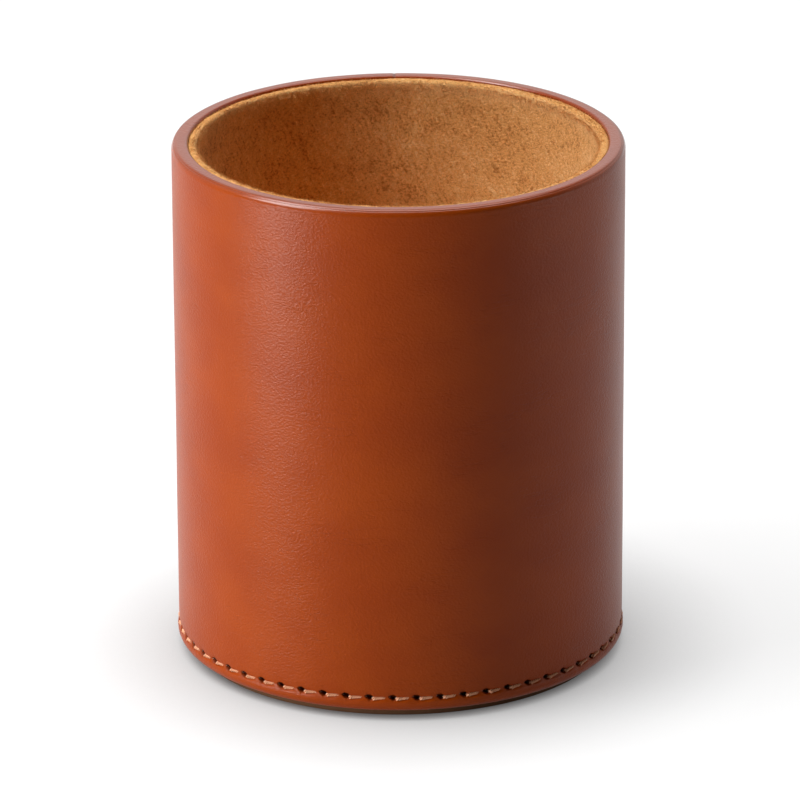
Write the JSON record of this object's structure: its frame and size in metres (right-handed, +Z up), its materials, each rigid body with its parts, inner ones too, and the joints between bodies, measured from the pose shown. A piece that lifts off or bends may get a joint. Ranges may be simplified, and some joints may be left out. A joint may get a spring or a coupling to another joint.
{
  "type": "pencil cup",
  "caption": "Round upright desk cup with a leather wall saddle stitched round the foot, a rounded rim and a drop-in suede liner, for pens and pencils.",
  "frame": {"origin": "centre of the flat underside that the cup rests on", "axes": "+Z up along the cup's axis, -Y towards the side seen in the picture, with the seam of the wall at +Y, +X to the right"},
  "size_m": [0.0855, 0.0854, 0.1],
  "materials": {
    "tan_leather": "smooth vegetable-tanned cowhide, waxed and lightly polished, tan with faint mottling",
    "dark_leather": "dark brown leather, matt, with the grain side down",
    "suede": "honey-brown suede with a short brushed nap",
    "waxed_thread": "waxed, twisted plies, light reddish tan",
    "grey_board": "dense uncoated board",
    "liner_card": "thin uncoated card"
  },
  "bodies": {
    "root": {"wall_leather": "tan_leather", "core_tube": "grey_board", "base_board": "grey_board", "base_infill": "grey_board", "base_pad": "dark_leather", "stitch_thread_a": "waxed_thread", "stitch_thread_b": "waxed_thread", "liner_card": "liner_card", "lining_suede": "suede", "floor_card": "liner_card", "floor_suede": "suede"}
  },
  "joints": []
}
